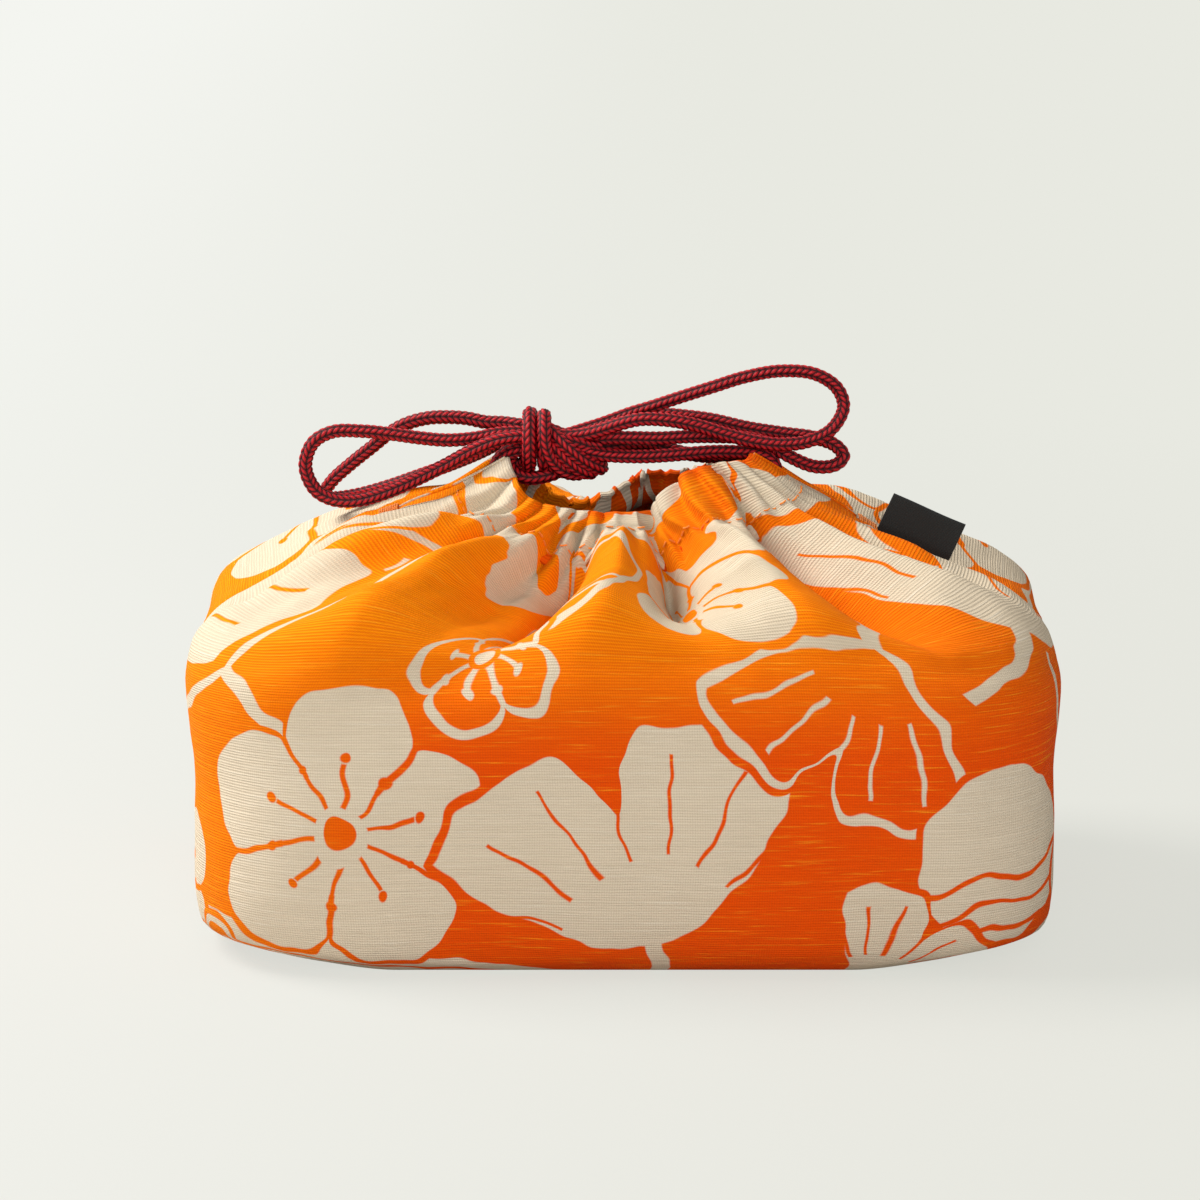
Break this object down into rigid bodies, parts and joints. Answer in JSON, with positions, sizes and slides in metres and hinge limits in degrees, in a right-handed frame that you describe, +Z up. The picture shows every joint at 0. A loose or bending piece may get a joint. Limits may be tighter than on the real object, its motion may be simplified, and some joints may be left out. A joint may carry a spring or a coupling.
{
  "type": "drawstring lunch bag",
  "caption": "Filled boxed drawstring bag of cotton cloth, its gathered mouth drawn in by braided cords that run in casings and are tied in a bow.",
  "frame": {"origin": "under the middle of the base, on the surface that the bag stands on", "axes": "+X right along the bag's length, +Y back, +Z up"},
  "size_m": [0.211, 0.1416, 0.136],
  "materials": {
    "printed_cotton": "slub cotton, printed",
    "casing_cotton": "slub cotton, hemmed",
    "seam_allowance": "raw cotton edge",
    "sewing_thread": "spun thread",
    "braided_cord": "round braid",
    "woven_label": "close weave, bare"
  },
  "bodies": {
    "bag": {"front_panel": "printed_cotton", "back_panel": "printed_cotton", "front_casing": "casing_cotton", "back_casing": "casing_cotton", "left_side_seam": "seam_allowance", "right_side_seam": "seam_allowance", "bottom_seam": "seam_allowance", "left_gusset_seam": "seam_allowance", "right_gusset_seam": "seam_allowance", "left_front_slit_hem": "casing_cotton", "left_back_slit_hem": "casing_cotton", "right_front_slit_hem": "casing_cotton", "right_back_slit_hem": "casing_cotton", "front_casing_stitching": "sewing_thread", "back_casing_stitching": "sewing_thread", "left_bartack": "sewing_thread", "right_bartack": "sewing_thread", "left_drawcord_run": "braided_cord", "right_drawcord_run": "braided_cord"},
    "bow": {"bow_knot": "braided_cord", "left_upper_loop": "braided_cord", "left_lower_loop": "braided_cord", "right_upper_loop": "braided_cord", "right_lower_loop": "braided_cord", "left_front_lead": "braided_cord", "left_back_lead": "braided_cord", "right_front_lead": "braided_cord", "right_back_lead": "braided_cord"},
    "label": {"side_label": "woven_label"}
  },
  "joints": [
    {"name": "bow_tip", "type": "hinge", "parent": "bag", "child": "bow", "pos_m": [0, 0, 0.1087], "axis": [1, 0, 0], "range_deg": [-4, 4]},
    {"name": "label_flap", "type": "hinge", "parent": "bag", "child": "label", "pos_m": [0.07247, 0, 0.09173], "axis": [0.8885, 0, -0.4588], "range_deg": [-40, 40], "stiffness_Nm_per_rad": 0.0001}
  ]
}
